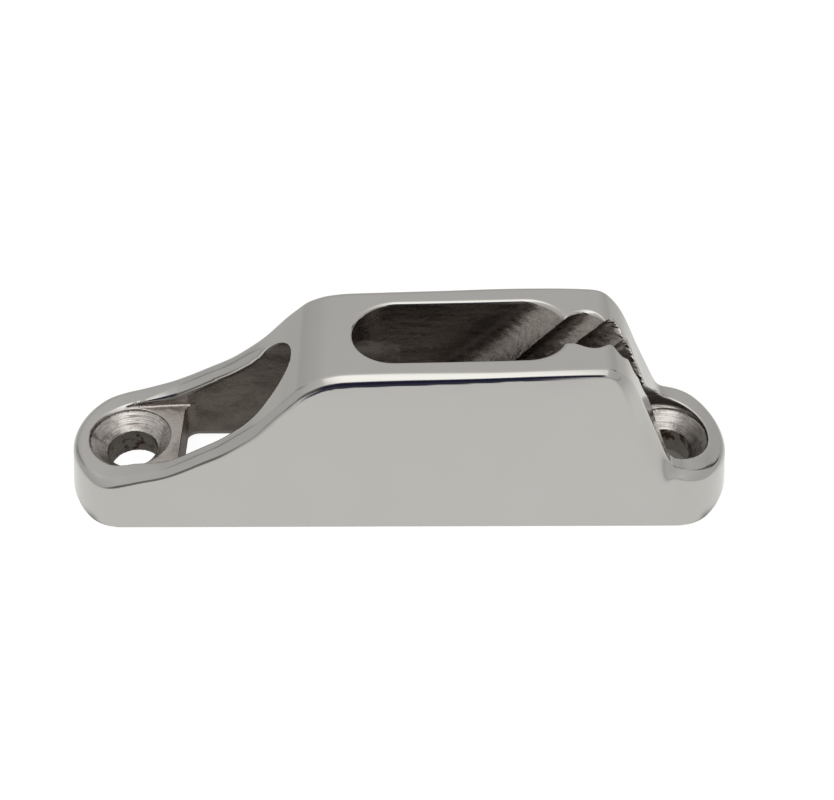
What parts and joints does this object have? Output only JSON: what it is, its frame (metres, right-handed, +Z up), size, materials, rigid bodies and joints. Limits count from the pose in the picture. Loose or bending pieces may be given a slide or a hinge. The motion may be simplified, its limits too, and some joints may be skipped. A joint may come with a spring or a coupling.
{
  "type": "fixed-jaw rope cleat",
  "caption": "Long low cast metal rope cleat: arched fairlead tunnel, open window, slanting-toothed V jaw and two countersunk screw noses.",
  "frame": {"origin": "middle of the base outline, on the flat underside", "axes": "+X along the cleat from the fairlead end (load) to the toothed jaw end, +Y across, +Z up away from the deck"},
  "size_m": [0.082, 0.0204, 0.0231],
  "materials": {
    "polished_steel": "mirror-polished outside, darker as-cast finish inside the rope passage, turned countersinks"
  },
  "bodies": {
    "root": {"cleat_body": "polished_steel"}
  },
  "joints": []
}
